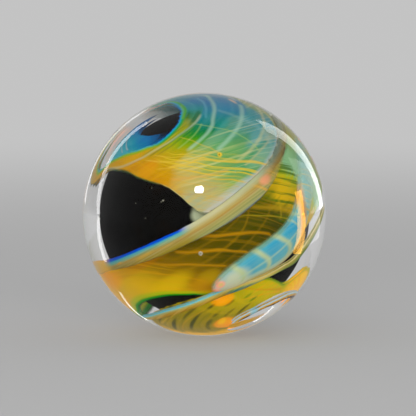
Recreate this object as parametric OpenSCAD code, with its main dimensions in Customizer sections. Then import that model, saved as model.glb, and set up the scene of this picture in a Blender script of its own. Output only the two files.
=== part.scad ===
// Glass marble: a dark core with coloured veils wound over it, inside a clear round casing.
// The origin is the ball's centre, +Z is up and -Y faces the viewer. Sizes are in millimetres.

/* [Ball] */
// Diameter of the polished ball
marble_d = 38; // [30:0.5:60]
// Diameter of the dark core that the colour is wound over
core_d = 21.8; // [16:0.1:22]

/* [Colour] */
// Thickness of a veil, a sheet of coloured glass stretched round the core
veil_t = 0.4; // [0.3:0.05:0.6]
// Thickness at the middle of a fold, where a veil's edge has rolled over on itself
fold_t = 0.65; // [0.5:0.05:1.2]
// Thickness at the middle of the blue finger, the fattest roll
finger_t = 1.1; // [0.8:0.1:2]
// Thickness that a fold and the finger thin down to at their edges
edge_t = 0.2; // [0.1:0.05:0.3]
// Clear glass between one layer of colour and the next, and over the core
layer_gap = 0.25; // [0.2:0.05:0.6]
// Clear glass between the olive veil and the veils above it
veil_gap = 0.6; // [0.4:0.05:1.2]

/* [Swirl] */
// Lean of the axis that the colour is wound round, from upright towards the viewer's left
swirl_lean = 34; // [0:1:60]
// Share of a fold's or the finger's length over which its ends are rounded off
tip_share = 0.12; // [0.05:0.01:0.3]
// Share of a veil's length over which its ends are rounded off
veil_tip_share = 0.04; // [0.02:0.01:0.3]

/* [Hidden] */

// The layers are wound on from the core outwards, and the casing covers them all.
ball_r = marble_d / 2;
core_r = core_d / 2;
inner_r = core_r + layer_gap;
veil_r = inner_r + veil_t + veil_gap;
fold_r = veil_r + veil_t + layer_gap;
finger_r = fold_r + fold_t + layer_gap;

// Facets of the ball and the core as drawn on screen
ball_fn = 96;

// Each band of colour is a list of stations [turn, low, high], in degrees: the turn round the
// swirl's axis, 0 at the front and growing to the right, and the heights of its two edges over
// the swirl's middle. A band may pass behind the ball, where its turn goes beyond 180.
pool_angles = [[-200, 64, 70], [-170, 59, 78], [-130, 57, 84], [-80, 60, 87], [-30, 62, 86],
    [15, 62, 80], [50, 62, 68]];
upper_angles = [[-172, 48, 56], [-155, 45, 58], [-138, 42, 57], [-122, 41, 55], [-108, 45, 56],
    [-98, 50, 61], [-88, 56, 66], [-75, 58, 69], [-58, 57, 71], [-43, 54, 71], [-30, 47, 70],
    [-17, 38, 69], [-9, 31, 68], [-4, 22, 67], [-1, 11, 67], [3, 4, 66], [15, 1, 66],
    [35, 2, 67], [50, 3, 68], [60, 5, 69], [70, 7, 70], [85, 10, 70], [110, 16, 70],
    [130, 18, 68], [150, 22, 64], [168, 30, 61], [184, 40, 56]];
foot_angles = [[-178, -62, -54], [-155, -60, -46], [-130, -63, -34], [-106, -68, -28],
    [-90, -71, -28], [-60, -74, -33], [-30, -78, -42], [0, -80, -49], [20, -81, -57],
    [38, -81, -66], [58, -81, -71], [80, -80, -69], [110, -77, -60], [140, -72, -54],
    [160, -70, -54], [174, -67, -58]];
main_angles = [[-130, 1, 8], [-105, 2, 10], [-82, 3, 10], [-55, 0, 9], [-30, -4, 7],
    [-13, -6, 5], [3, -8, 4], [20, -9, 4], [36, -8, 5], [50, -5, 6], [63, -1, 8], [80, 5, 12],
    [110, 12, 18], [140, 15, 20], [170, 14, 18]];
lower_angles = [[-110, -26, -22], [-90, -32, -27], [-70, -37, -31], [-45, -43, -37],
    [-25, -47, -41], [-5, -52, -46], [15, -55, -51], [38, -57, -53], [57, -57, -52],
    [75, -51, -45], [95, -41, -36], [115, -30, -26]];
foot_fold_angles = [[-75, -73, -67], [-50, -78, -70], [-15, -83, -76], [25, -86, -79],
    [63, -86, -79], [105, -82, -75], [130, -77, -70], [150, -70, -63], [175, -62, -57]];
finger_angles = [[-24, -40, -32], [-8, -44, -29], [12, -47, -28], [26, -49, -28],
    [40, -48, -27], [52, -44, -23], [62, -37, -16], [74, -27, -6], [88, -16, 4], [104, -4, 12]];

// The olive veil lies on the core at the front, and rises behind it. A fourth number in its
// stations is the share of the way from the inner layer out to the layer of the other veils.
olive_angles = [[-178, -8, -2, 1], [-150, -18, 2, 1], [-125, -24, 3, 1], [-106, -24, 4, 1],
    [-92, -22, 5, 1], [-78, -23, 5, 0.6], [-60, -29, 4, 0.2], [-45, -39, 3, 0],
    [-35, -46, 2, 0], [-15, -50, 0, 0], [5, -51, -1, 0], [25, -51, -1, 0], [45, -50, -1, 0],
    [60, -47, 1, 0.25], [74, -42, 3, 0.7], [88, -36, 6, 1], [105, -30, 10, 1],
    [130, -20, 13, 1], [155, -8, 12, 1], [178, 0, 6, 1]];

// Point on the sphere of radius r at a turn and a height in the swirl, which leans to -X
function swirl_point(r, turn, height) = let(
    x = r * cos(height) * sin(turn),
    y = -r * cos(height) * cos(turn),
    z = r * sin(height)
) [x * cos(swirl_lean) - z * sin(swirl_lean), y, x * sin(swirl_lean) + z * cos(swirl_lean)];

// Smooth curve through four values, from b at t = 0 to c at t = 1
function through(a, b, c, d, t) =
    (2 * b + (c - a) * t + (2 * a - 5 * b + 4 * c - d) * t * t
        + (3 * b - a - 3 * c + d) * t * t * t) / 2;

// The station at a share u of a band's length
function station(band, u) = let(
    last = len(band) - 1,
    x = u * last,
    i = min(floor(x), last - 1)
) through(band[max(i - 1, 0)], band[i], band[i + 1], band[min(i + 2, last)], x - i);

// How far a station is raised over its band's own layer
function lift(s) = len(s) > 3 ? min(1, max(0, s[3])) * (veil_r - inner_r) : 0;

// Share of the full width that is left at u, where both ends are rounded over `tip`
function end_width(u, tip) = let(
    near = min(1, min(u, 1 - u) / tip)
) max(0.2, sqrt(1 - (1 - near) * (1 - near)));

// Point on a band's inner or outer face, at u along it and v across it
function band_point(band, r, t, edge, tip, u, v, outer) = let(
    s = station(band, u),
    middle = (s[1] + s[2]) / 2,
    half = (s[2] - s[1]) / 2 * end_width(u, tip),
    crown = sqrt(max(0, 4 * v * (1 - v))) * end_width(u, tip),
    rise = lift(s) + outer * (edge + (t - edge) * crown)
) swirl_point(r + rise, s[0], middle + half * (2 * v - 1));

// Closed solid of a band of glass: an inner face on the sphere of radius r, an outer face that
// rises to t at its middle and `edge` at its rim, and four narrow sides between the two
module band_solid(band, r, t, edge, tip, nu, nv) {
    row = nv + 1;
    face = (nu + 1) * row;
    points = [for (outer = [0, 1], i = [0 : nu], j = [0 : nv])
        band_point(band, r, t, edge, tip, i / nu, j / nv, outer)];
    inside = [for (i = [0 : nu - 1], j = [0 : nv - 1]) let(p = i * row + j)
        each [[p, p + row + 1, p + 1], [p, p + row, p + row + 1]]];
    outside = [for (i = [0 : nu - 1], j = [0 : nv - 1]) let(p = face + i * row + j)
        each [[p, p + 1, p + row + 1], [p, p + row + 1, p + row]]];
    low_side = [for (i = [0 : nu - 1]) let(p = i * row)
        each [[p, p + face + row, p + row], [p, p + face, p + face + row]]];
    high_side = [for (i = [0 : nu - 1]) let(p = i * row + nv)
        each [[p, p + row, p + face + row], [p, p + face + row, p + face]]];
    start_side = [for (p = [0 : nv - 1])
        each [[p, p + 1, p + face + 1], [p, p + face + 1, p + face]]];
    end_side = [for (j = [0 : nv - 1]) let(p = nu * row + j)
        each [[p, p + face + 1, p + 1], [p, p + face, p + face + 1]]];
    polyhedron(points, concat(inside, outside, low_side, high_side, start_side, end_side));
}

// A veil keeps one thickness, and a roll is thick in the middle and thin at its rim.
module veil_solid(band, r, nu, nv) {
    band_solid(band, r, veil_t, veil_t, veil_tip_share, nu, nv);
}

module roll_solid(band, r, t, nu, nv) {
    band_solid(band, r, t, edge_t, tip_share, nu, nv);
}

module core_solid() {
    sphere(r = core_r, $fn = ball_fn);
}

module blue_pool_solid() {
    veil_solid(pool_angles, inner_r, 18, 5);
}

module olive_veil_solid() {
    veil_solid(olive_angles, inner_r, 38, 6);
}

module upper_veil_solid() {
    veil_solid(upper_angles, veil_r, 52, 7);
}

module foot_veil_solid() {
    veil_solid(foot_angles, veil_r, 32, 5);
}

module main_fold_solid() {
    roll_solid(main_angles, fold_r, fold_t, 36, 4);
}

module lower_fold_solid() {
    roll_solid(lower_angles, fold_r, fold_t, 26, 4);
}

module foot_fold_solid() {
    roll_solid(foot_fold_angles, fold_r, fold_t, 22, 4);
}

module blue_finger_solid() {
    roll_solid(finger_angles, finger_r, finger_t, 26, 6);
}

// The clear ball holds everything else, so it is the sphere less all that lies inside it.
module casing() {
    color("aliceblue", 0.25)
        difference() {
            sphere(r = ball_r, $fn = ball_fn);
            core_solid();
            blue_pool_solid();
            olive_veil_solid();
            upper_veil_solid();
            foot_veil_solid();
            main_fold_solid();
            lower_fold_solid();
            foot_fold_solid();
            blue_finger_solid();
        }
}

module dark_core() {
    color([0.05, 0.04, 0.02]) core_solid();
}

module blue_pool() {
    color([0.05, 0.45, 0.65]) blue_pool_solid();
}

module olive_veil() {
    color([0.5, 0.42, 0.05]) olive_veil_solid();
}

module upper_veil() {
    color([0.35, 0.6, 0.45]) upper_veil_solid();
}

module foot_veil() {
    color([0.6, 0.55, 0.05]) foot_veil_solid();
}

module main_fold() {
    color([0.75, 0.65, 0.4]) main_fold_solid();
}

module lower_fold() {
    color([0.6, 0.65, 0.45]) lower_fold_solid();
}

module foot_fold() {
    color([0.75, 0.6, 0.3]) foot_fold_solid();
}

module blue_finger() {
    color([0.5, 0.72, 0.68]) blue_finger_solid();
}

casing();
dark_core();
blue_pool();
olive_veil();
upper_veil();
foot_veil();
main_fold();
lower_fold();
foot_fold();
blue_finger();
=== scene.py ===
# %% [markdown]
# # A glass marble
#
# The real object is one ball of glass, made in three steps. A dark core is gathered first. Sheets
# of coloured glass are laid on it, stretched and wound round a leaning axis, so that some of them
# tear open and some roll up at their edges. A thick clear casing goes over everything and is
# ground and polished round. What the eye sees is the colour, seen through a strong ball lens.
#
# So the scene has two halves. The colour is a set of thin bands that lie on spheres inside the
# ball, each with a pattern that follows the winding. The casing is a smooth sphere of clear glass
# that bends what lies inside it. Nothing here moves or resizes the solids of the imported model.

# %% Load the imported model
import math
from types import SimpleNamespace

import bpy
import numpy as np
from mathutils import Matrix, Vector


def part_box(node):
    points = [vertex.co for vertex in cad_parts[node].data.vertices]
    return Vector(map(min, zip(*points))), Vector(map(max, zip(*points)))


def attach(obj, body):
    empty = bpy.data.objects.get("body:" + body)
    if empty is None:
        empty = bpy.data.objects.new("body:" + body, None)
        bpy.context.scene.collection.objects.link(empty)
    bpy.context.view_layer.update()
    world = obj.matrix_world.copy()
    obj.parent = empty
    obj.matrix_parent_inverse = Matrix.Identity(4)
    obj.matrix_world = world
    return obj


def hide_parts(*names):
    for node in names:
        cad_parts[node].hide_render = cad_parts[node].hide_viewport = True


mm = 0.001
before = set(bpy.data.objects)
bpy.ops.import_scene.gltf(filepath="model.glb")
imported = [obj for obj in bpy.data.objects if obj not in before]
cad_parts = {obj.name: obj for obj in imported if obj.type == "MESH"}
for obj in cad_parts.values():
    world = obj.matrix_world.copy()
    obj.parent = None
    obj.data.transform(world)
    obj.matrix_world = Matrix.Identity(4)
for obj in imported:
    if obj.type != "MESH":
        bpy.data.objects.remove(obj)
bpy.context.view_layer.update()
low, high = (Vector(corner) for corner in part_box("casing"))
ball_r = (high.z - low.z) / 2
print(f"ball {2 * ball_r / mm:.1f} mm across, {len(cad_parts)} solids")

# %% [markdown]
# ## The camera
#
# The photograph looks at the ball almost level, from about half a metre, through a long lens. The
# ball fills 244 of the picture's 416 pixels, and its centre is a little left of and below the
# middle. A ball seen from a distance D shows an outline that is tan(asin(R / D)) wide, so the
# lens follows from the outline's size, and the aim follows from where its centre falls.

# %% The camera at the photograph's viewing angle
def put(name, data):
    """A new object with the given data, in the scene."""
    made = bpy.data.objects.new(name, data)
    bpy.context.scene.collection.objects.link(made)
    return made


picture = 416
outline_px = 122.0
centre_px = (204.5, 214.5)
camera_distance = 0.5
camera_elevation = math.radians(5)
sensor = 36.0

slope_of_outline = math.tan(math.asin(ball_r / camera_distance))
slope_per_px = slope_of_outline / outline_px
camera_data = bpy.data.cameras.new("camera")
camera_data.sensor_width = sensor
camera_data.lens = sensor / (picture * slope_per_px)
camera = put("camera", camera_data)
bpy.context.scene.camera = camera
camera.location = (
    0.0,
    -camera_distance * math.cos(camera_elevation),
    camera_distance * math.sin(camera_elevation),
)

view_right = Vector((1, 0, 0))
view_in = -camera.location.normalized()
view_up = view_right.cross(view_in)
aim_right = (picture / 2 - centre_px[0]) * slope_per_px
aim_up = (centre_px[1] - picture / 2) * slope_per_px
direction = view_in + view_right * aim_right + view_up * aim_up
camera.rotation_euler = direction.to_track_quat("-Z", "Y").to_euler()
print(f"lens {camera_data.lens:.0f} mm")

# %% [markdown]
# ## The layers
#
# The colours lie in layers, like the skins of an onion. The layers are measured from the core
# outwards, in the same order and with the same thicknesses as the solids: the olive veil and the
# blue pool on the core, then the upper and foot veils, then the folds, then the finger.

# %% Radii of the layers, in metres
core_r = 21.8 * mm / 2
veil_t = 0.4 * mm
fold_t = 0.65 * mm
finger_t = 1.1 * mm
edge_t = 0.2 * mm
layer_gap = 0.25 * mm
veil_gap = 0.6 * mm
swirl_lean = math.radians(34)
roll_tip = 0.12
veil_tip = 0.04
blunt_end = 0.2

# The thickness along the middle and at the rims, and the share of the length that each end takes
sheet = (veil_t, veil_t, veil_tip)
roll = (fold_t, edge_t, roll_tip)
fat_roll = (finger_t, edge_t, roll_tip)

inner_r = core_r + layer_gap
veil_r = inner_r + veil_t + veil_gap
fold_r = veil_r + veil_t + layer_gap
finger_r = fold_r + fold_t + layer_gap
print(f"core {core_r / mm:.2f}, veils {inner_r / mm:.2f} and {veil_r / mm:.2f}, "
      f"folds {fold_r / mm:.2f}, finger {finger_r / mm:.2f} mm")

# %% [markdown]
# ## A band of glass
#
# Every veil and roll is one band, wound round the swirl's leaning axis. It is given by a few
# stations, each with a turn round the axis and the heights of the band's two edges, in degrees.
# A smooth curve runs through the stations, so the band can be worked out as finely as it needs.
# It could be sculpted or drawn as curves too, but a band that is a function of two parameters
# keeps its flow direction, and the pattern of stretched glass has to follow that flow. So every
# band carries three UV maps: its turn and height, its shares along and across, and the distances
# to its two edges. Angles are divided by 100 there, to keep the maps' numbers small.

# %% Functions for a band
def through(stations, share):
    """Smooth curve through the stations, at an array of shares 0 to 1 of the whole length.

    Between two stations b and c, with neighbours a and d and t from 0 to 1, the value is half of
    2b + (c - a) t + (2a - 5b + 4c - d) t squared + (3b - a - 3c + d) t cubed.
    """
    table = np.array(stations, float)
    last = len(table) - 1
    x = share * last
    i = np.minimum(np.floor(x).astype(int), last - 1)
    t = (x - i)[:, None]
    a = table[np.maximum(i - 1, 0)]
    b = table[i]
    c = table[i + 1]
    d = table[np.minimum(i + 2, last)]
    cubic = (2 * a - 5 * b + 4 * c - d) * t**2 + (3 * b - a - 3 * c + d) * t**3
    return (2 * b + (c - a) * t + cubic) / 2


def swirl_point(r, turn, height):
    """Points on spheres of radius r, at turns and heights in degrees round the leaning axis."""
    lam = np.radians(height)
    tau = np.radians(turn)
    x = r * np.cos(lam) * np.sin(tau)
    y = -r * np.cos(lam) * np.cos(tau)
    z = r * np.sin(lam)
    c, s = math.cos(swirl_lean), math.sin(swirl_lean)
    return np.stack([x * c - z * s, y, x * s + z * c], -1)


def band_surface(stations, r, section, nu, nv):
    """Inner and outer face of a band, and its three maps.

    The half width is multiplied by a quarter circle over `tip` of the length at either end, but
    never by less than `blunt_end`. The outer face rises over the inner one by `edge` at the rim
    and by `thick` along the middle, as the square root of 4 v (1 - v) does. A fourth number in
    the stations is the share of the way from the inner layer to the layer of the other veils.
    """
    thick, edge, tip = section
    u = np.linspace(0, 1, nu + 1)
    v = np.linspace(0, 1, nv + 1)
    turn, lower, upper, *lift = through(stations, u).T
    near = np.minimum(1, np.minimum(u, 1 - u) / tip)
    end = np.maximum(blunt_end, np.sqrt(1 - (1 - near) ** 2))
    half = (upper - lower) / 2 * end
    height = ((lower + upper) / 2)[:, None] + half[:, None] * (2 * v - 1)
    turns = np.repeat(turn[:, None], nv + 1, 1)
    crown = np.sqrt(4 * v * (1 - v))[None, :] * end[:, None]
    rise = edge + (thick - edge) * crown
    if lift:
        r = r + np.clip(lift[0], 0, 1)[:, None] * (veil_r - inner_r)
    faces = [swirl_point(r, turns, height), swirl_point(r + rise, turns, height)]
    width = 2 * half[:, None]
    maps = {
        "swirl": np.stack([turns, height], -1) / 100,
        "across": np.stack(np.meshgrid(u, v, indexing="ij"), -1),
        "edges": np.stack([width * v, width * (1 - v)], -1) / 100,
    }
    return np.array(faces), maps


# %% Functions for a mesh
def band_faces(nu, nv):
    """Quads of a closed band: the two faces and the four sides that join them."""
    index = np.arange(2 * (nu + 1) * (nv + 1)).reshape(2, nu + 1, nv + 1)
    inner, outer = index
    quads = [
        np.stack([outer[:-1, :-1], outer[1:, :-1], outer[1:, 1:], outer[:-1, 1:]], -1),
        np.stack([inner[:-1, :-1], inner[:-1, 1:], inner[1:, 1:], inner[1:, :-1]], -1),
        np.stack([inner[:-1, 0], inner[1:, 0], outer[1:, 0], outer[:-1, 0]], -1),
        np.stack([inner[:-1, -1], outer[:-1, -1], outer[1:, -1], inner[1:, -1]], -1),
        np.stack([inner[0, :-1], outer[0, :-1], outer[0, 1:], inner[0, 1:]], -1),
        np.stack([inner[-1, :-1], inner[-1, 1:], outer[-1, 1:], outer[-1, :-1]], -1),
    ]
    return np.concatenate([q.reshape(-1, 4) for q in quads])


def mesh_object(name, points, faces, maps=None):
    """Smooth mesh object from an array of points and a list of faces, with its UV maps."""
    mesh = bpy.data.meshes.new(name)
    mesh.from_pydata(points.reshape(-1, 3).tolist(), [], faces)
    mesh.polygons.foreach_set("use_smooth", np.ones(len(mesh.polygons), bool))
    corner = np.empty(len(mesh.loops), int)
    mesh.loops.foreach_get("vertex_index", corner)
    for title, uv in (maps or {}).items():
        layer = mesh.uv_layers.new(name=title)
        layer.data.foreach_set("uv", uv.reshape(-1, 2)[corner].ravel())
    mesh.validate()
    return put(name, mesh)


def stand_for(made, node):
    """Hides the solid that a piece stands for, and lets the piece ride on the one body."""
    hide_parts(node)
    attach(made, "root")
    print(f"{made.name}: {len(made.data.polygons)} faces")
    return made


def add_band(node, stations, r, section, nu, nv):
    """A band as a closed mesh that stands for the solid of the same form."""
    points, maps = band_surface(stations, r, section, nu, nv)
    both = {title: np.stack([values, values]) for title, values in maps.items()}
    made = mesh_object(f"{node}_glass", points, band_faces(nu, nv).tolist(), both)
    return stand_for(made, node)


# %% [markdown]
# ## Shader helpers
#
# The patterns are made by nodes. A short function that adds a node and fills its inputs keeps
# each material readable. It finds the node tree from the outputs that it is given. Colours are
# written as a screen shows them, from 0 to 255, and turned into Blender's linear values.

# %% Functions for node trees
def screen(red, green, blue):
    """Linear colour from screen values 0 to 255: divided by 255, then to the power 2.2."""
    return tuple((c / 255) ** 2.2 for c in (red, green, blue)) + (1.0,)


def add_node(tree, kind, inputs=None, **settings):
    """Adds a shader node, sets its settings, and fills its inputs with numbers or outputs."""
    made = tree.nodes.new("ShaderNode" + kind)
    for setting, value in settings.items():
        setattr(made, setting, value)
    for name, value in (inputs or {}).items():
        if isinstance(value, bpy.types.NodeSocket):
            tree.links.new(value, made.inputs[name])
        else:
            made.inputs[name].default_value = value
    return made


def tree_of(values):
    """The node tree of the first value that is another node's output."""
    return next(value.id_data for value in values if isinstance(value, bpy.types.NodeSocket))


def calc(operation, *values):
    """One Math node, with its result."""
    inputs = dict(enumerate(values))
    return add_node(tree_of(values), "Math", inputs, operation=operation).outputs[0]


def scaled(value, factor, offset):
    """The value times a factor, plus an offset."""
    return calc("MULTIPLY_ADD", value, factor, offset)


def product(*values):
    """All the values multiplied together."""
    result = values[0]
    for value in values[1:]:
        result = calc("MULTIPLY", result, value)
    return result


def share_of(value, start, end):
    """The share of the way from start to end, from 0 to 1."""
    inputs = {"Value": value, "From Min": start, "From Max": end}
    return add_node(value.id_data, "MapRange", inputs).outputs["Result"]


def smooth(value, start, end, low_value=0.0, high_value=1.0):
    """Rises smoothly from one value to another as the input goes from start to end."""
    inputs = {"Value": value, "From Min": start, "From Max": end,
              "To Min": low_value, "To Max": high_value}
    made = add_node(value.id_data, "MapRange", inputs, interpolation_type="SMOOTHSTEP")
    return made.outputs["Result"]


def between(value, rise, full, still, gone):
    """A mask that rises from `rise` to `full`, stays, and falls from `still` to `gone`."""
    return product(smooth(value, rise, full), smooth(value, gone, still))


def off_ends(share, fade):
    """A mask that is 1 along a length, and falls to 0 over a share of it at either end."""
    return smooth(calc("MINIMUM", share, calc("SUBTRACT", 1.0, share)), 0.0, fade)


def blend(share, first, second):
    """Mixes two colours by a share."""
    inputs = {0: share, 6: first, 7: second}
    return add_node(share.id_data, "Mix", inputs, data_type="RGBA").outputs[2]


def ramp(value, stops):
    """Colours that change evenly between the listed places of a value."""
    start, end = stops[0][0], stops[-1][0]
    inputs = {"Fac": share_of(value, start, end)}
    made = add_node(value.id_data, "ValToRGB", inputs)
    elements = made.color_ramp.elements
    while len(elements) < len(stops):
        elements.new(0.5)
    for element, (place, *tone) in zip(elements, stops):
        element.position = (place - start) / (end - start)
        element.color = screen(*tone)
    return made.outputs["Color"]


def noise_at(x, y, seed, detail, roughness=0.5):
    """Noise at a place given by two measures and a seed."""
    place = add_node(x.id_data, "CombineXYZ", {0: x, 1: y, 2: seed}).outputs[0]
    inputs = {"Vector": place, "Scale": 1.0, "Detail": detail, "Roughness": roughness}
    return add_node(x.id_data, "TexNoise", inputs).outputs


# %% Functions for materials and node groups
matt = {"Roughness": 1.0, "Specular IOR Level": 0.0}


def new_material(name, settings):
    """A material with its node tree and its shader, which gets the settings."""
    material = bpy.data.materials.new(name)
    material.use_nodes = True
    shader = material.node_tree.nodes["Principled BSDF"]
    for setting, value in settings.items():
        shader.inputs[setting].default_value = value
    return material, material.node_tree, shader


def mix_surface(share, first, second):
    """Joins two shaders, mixed by a share, to the material's surface."""
    tree = share.id_data
    inputs = {0: share, 1: first.outputs[0], 2: second.outputs[0]}
    mixed = add_node(tree, "MixShader", inputs).outputs[0]
    tree.links.new(mixed, tree.nodes["Material Output"].inputs["Surface"])


def new_group(name, inputs, outputs):
    """A shader node group, with the sockets of its two end nodes. Its input Flow is a vector."""
    tree = bpy.data.node_groups.new(name, "ShaderNodeTree")
    for way, titles in (("INPUT", inputs), ("OUTPUT", outputs)):
        for title in titles:
            kind = "NodeSocketVector" if title == "Flow" else "NodeSocketFloat"
            tree.interface.new_socket(title, in_out=way, socket_type=kind)
    return tree, tree.nodes.new("NodeGroupInput").outputs, tree.nodes.new("NodeGroupOutput").inputs


def place_group(group, inputs):
    """Places a group in the tree of its inputs. Gives its outputs."""
    return add_node(tree_of(inputs.values()), "Group", inputs, node_tree=group).outputs


# %% [markdown]
# ## Effects that the veils share
#
# Stretched glass shows the same few things everywhere. Its flow is never quite even, so every
# pattern sways a little. Its colour runs in streaks along the flow or slantwise to it. It has soft
# glows and stains, and its torn edges are ragged and fade out. Each effect is a node group, placed
# in every veil's material with its own values.

# %% The swaying flow, in degrees. It sways further along the flow than across it
waves_along, waves_across = 2.4, 6.0
swirl_place, take, give = new_group("swirl place", ["Flow", "Sway", "Seed"], ["Turn", "Height"])
split = add_node(swirl_place, "SeparateXYZ", {0: take["Flow"]}).outputs
noise = noise_at(product(split["X"], waves_along), product(split["Y"], waves_across),
                 take["Seed"], detail=2.0)
pushes = add_node(swirl_place, "SeparateColor", {0: noise["Color"]}).outputs
for title, axis, push, reach in (("Turn", "X", 0, 3.0), ("Height", "Y", 1, 1.0)):
    sway = product(calc("SUBTRACT", pushes[push], 0.5), take["Sway"], reach)
    swirl_place.links.new(scaled(split[axis], 100.0, sway), give[title])

# %% Streaks, with their numbers along and across counted to 100 degrees
streaks, take, give = new_group(
    "streaks", ["Turn", "Height", "Along", "Across", "Slant", "Seed"], ["Streak"])
slanted = scaled(take["Turn"], take["Slant"], take["Height"])
noise = noise_at(product(take["Turn"], take["Along"], 0.01),
                 product(slanted, take["Across"], 0.01), take["Seed"], detail=4.0,
                 roughness=0.6)
streaks.links.new(smooth(noise["Fac"], 0.3, 0.7), give["Streak"])

# %% A soft patch of glow or haze, centred on a turn and a height
soft_patch, take, give = new_group(
    "soft patch", ["Turn", "Height", "At turn", "At height", "Long", "Wide"], ["Patch"])
gone_at = 1.6
square = 0.0
for value, centre, reach in (("Turn", "At turn", "Long"), ("Height", "At height", "Wide")):
    away = calc("DIVIDE", calc("SUBTRACT", take[value], take[centre]), take[reach])
    square = scaled(away, away, square)
soft_patch.links.new(smooth(square, gone_at, 0.0), give["Patch"])

# %% Torn edges that fade out, with all distances in degrees
torn_edge, take, give = new_group(
    "torn edge", ["Turn", "Height", "Low", "High", "Along share", "Low fade", "High fade",
                  "Ragged", "Seed"], ["Cover"])
tear = place_group(streaks, {"Turn": take["Turn"], "Height": take["Height"], "Along": 22.0,
                             "Across": 3.0, "Seed": take["Seed"]})
bite = product(tear["Streak"], take["Ragged"])
cover = off_ends(take["Along share"], fade=0.05)
for side in ("Low", "High"):
    kept = smooth(calc("SUBTRACT", take[side], bite), 0.0, take[side + " fade"])
    cover = product(cover, kept)
torn_edge.links.new(cover, give["Cover"])
print("node groups:", [group.name for group in bpy.data.node_groups])

# %% [markdown]
# ## Coloured glass under a casing
#
# Where two pieces of glass are fused there is no polished surface between them, so a veil inside
# the ball has no gloss of its own. Its material is fully rough with its specular level at zero,
# and its looks come from colour and cover, the share of light that it stops, and from a painted
# glow of its own colour. The colour is built up as a painter would: broad fields first, then
# patches, streaks and thin lines over them.

# %% A material for fused colour
def fused_glass(name, seed, glow, sway=2.0):
    """A matt material with the measures of its piece in degrees, and no colour yet.

    The glow stands for light that comes through the glass from behind it.
    """
    material, tree, shader = new_material(name, matt | {"Emission Strength": glow})
    material.cycles.emission_sampling = "NONE"
    flow, shares, edges = (add_node(tree, "UVMap", uv_map=title).outputs["UV"]
                           for title in ("swirl", "across", "edges"))
    place = place_group(swirl_place, {"Flow": flow, "Sway": sway, "Seed": seed})
    share = add_node(tree, "SeparateXYZ", {0: shares}).outputs
    edge = add_node(tree, "SeparateXYZ", {0: edges}).outputs
    return SimpleNamespace(
        material=material, shader=shader, seed=seed, colour=None, turn=place["Turn"],
        height=place["Height"], along=share["X"],
        place={"Turn": place["Turn"], "Height": place["Height"]},
        low=product(edge["X"], 100.0), high=product(edge["Y"], 100.0))


def streak(glass, along, across, seed, slant=0.0, height=None):
    """Streaks, with so many to 100 degrees along and across the flow."""
    return place_group(streaks, {
        "Turn": glass.turn, "Height": height or glass.height, "Along": along, "Across": across,
        "Slant": slant, "Seed": glass.seed + seed})["Streak"]


# %% Tones, grain and patches over it
def paint(glass, mask, tone, share=1.0):
    """Lays a tone over the glass where a mask is high. It is a screen colour or an output."""
    tone = screen(*tone) if isinstance(tone, tuple) else tone
    glass.colour = blend(product(mask, share), glass.colour, tone)


def paint_grain(glass, grain, mask, *tones):
    """Lays tones over streaks, each from their middle value of 0.5 up or down to its limit."""
    for limit, share, tone in tones:
        paint(glass, product(smooth(grain, 0.5, limit), mask), tone, share)


def paint_patches(glass, patches):
    """Soft ellipses, each given as its turn, height, half length, half width, share and tone."""
    for turn, height, long, wide, share, *tone in patches:
        mask = place_group(soft_patch, glass.place | {
            "At turn": turn, "At height": height, "Long": long, "Wide": wide})["Patch"]
        paint(glass, mask, tuple(tone), share)


# %% Thin lines over it
def paint_lines(glass, lines):
    """Thin lines, each given as its half width, share, tone and points of turn and height.

    A line that climbs steeply takes its turn from its height, and any other its height from its
    turn. The half width is measured square to the line, so a slope s widens it by the square
    root of 1 + s squared.
    """
    softness, end_fade = 1.4, 0.06
    for half, share, tone, points in lines:
        spots = np.array(points, float)
        walk, seek = glass.turn, glass.height
        if np.ptp(spots[:, 1]) > np.ptp(spots[:, 0]):
            walk, seek = seek, walk
            spots = spots[:, ::-1]
        spots = spots[np.argsort(spots[:, 0])]
        first, last = spots[0], spots[-1]
        least, most = spots[:, 1].min() - 1, spots[:, 1].max() + 1
        done = share_of(walk, first[0], last[0])
        node = add_node(done.id_data, "FloatCurve", {"Value": done})
        curve = node.mapping.curves[0]
        places = [((x - first[0]) / (last[0] - first[0]), (y - least) / (most - least))
                  for x, y in spots]
        curve.points[0].location, curve.points[1].location = places[0], places[-1]
        for spot in places[1:-1]:
            curve.points.new(*spot)
        node.mapping.update()
        target = scaled(node.outputs[0], most - least, least)
        gap = calc("ABSOLUTE", calc("SUBTRACT", seek, target))
        slope = (last[1] - first[1]) / (last[0] - first[0])
        body = smooth(gap, 0.0, half * math.hypot(1, slope) * softness, 1.0, 0.0)
        paint(glass, product(body, off_ends(done, end_fade)), tone, share)


# %% The cover, and the finished material
def finish(glass, piece, low_fade, high_fade, ragged, *masks):
    """Joins the colour and the cover to the shader, and gives the material to its piece.

    The cover fades at the piece's edges over so many degrees, and further masks thin it.
    """
    cover = place_group(torn_edge, glass.place | {
        "Low": glass.low, "High": glass.high, "Along share": glass.along, "Low fade": low_fade,
        "High fade": high_fade, "Ragged": ragged, "Seed": glass.seed})["Cover"]
    tree = glass.material.node_tree
    tree.links.new(glass.colour, glass.shader.inputs["Base Color"])
    tree.links.new(glass.colour, glass.shader.inputs["Emission Color"])
    tree.links.new(product(cover, *masks), glass.shader.inputs["Alpha"])
    piece.data.materials.append(glass.material)
    print(f"{glass.material.name}: {len(tree.nodes)} nodes")


# %% [markdown]
# ## The dark core
#
# The core shows wherever the colour has torn open. It isn't a flat black: the photograph has
# brown and green-black clouds in it, so its colour is a dark noise between a few tones. A thin
# pale stain on it stands for the blunt right end of the large opening.

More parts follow.
